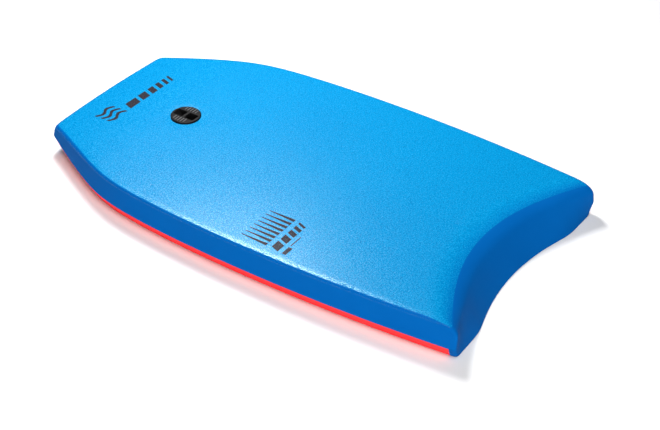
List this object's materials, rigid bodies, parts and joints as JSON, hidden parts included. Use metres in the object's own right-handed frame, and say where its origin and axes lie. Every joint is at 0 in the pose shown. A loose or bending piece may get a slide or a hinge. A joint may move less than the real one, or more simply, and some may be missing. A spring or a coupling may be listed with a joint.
{
  "type": "bodyboard",
  "caption": "Short foam bodyboard with leaning rails, a crescent tail, a hard slick underside and a screw-in leash plug through its nose half.",
  "frame": {"origin": "middle of the underside, under the centre of the board's box", "axes": "+Y from the tail to the nose, +Z out of the deck, +X to the right of a rider who faces the nose"},
  "size_m": [0.3931, 0.6867, 0.05],
  "materials": {
    "core_foam": "closed-cell foam, off-white",
    "bonding_film": "thin clear laminating film",
    "deck_foam": "pebble-embossed azure foam skin",
    "base_foam": "closed-cell foam, red",
    "slick_sheet": "smooth hard slick sheet, red",
    "rail_foam": "smooth heat-sealed foam, blue, satin",
    "chine_foam": "smooth heat-sealed foam, red, satin",
    "plug_plastic": "moulded black plastic",
    "washer_rubber": "black rubber"
  },
  "bodies": {
    "board": {"foam_core": "core_foam", "deck_film": "bonding_film", "base_film": "bonding_film", "deck_skin": "deck_foam", "base_foam": "base_foam", "slick_bottom": "slick_sheet", "left_upper_rail": "rail_foam", "right_upper_rail": "rail_foam", "left_chine": "chine_foam", "right_chine": "chine_foam", "nose_strip": "rail_foam", "tail_strip": "rail_foam", "plug_nut": "plug_plastic", "nut_washer": "washer_rubber"},
    "washer": {"cup_washer": "washer_rubber"},
    "cup": {"plug_cup": "plug_plastic"}
  },
  "joints": [
    {"name": "plug_lift", "type": "slide", "parent": "board", "child": "washer", "axis": [0, 0, 1], "range_m": [0, 0.012]},
    {"name": "plug_turn", "type": "hinge", "parent": "washer", "child": "cup", "pos_m": [0, 0.1945, 0.04], "axis": [0, 0, 1], "range_deg": [0, 1440]}
  ],
  "couplings": [
    {"joint": "plug_lift", "follows": "plug_turn", "m_per_rad": 0.00047746}
  ]
}
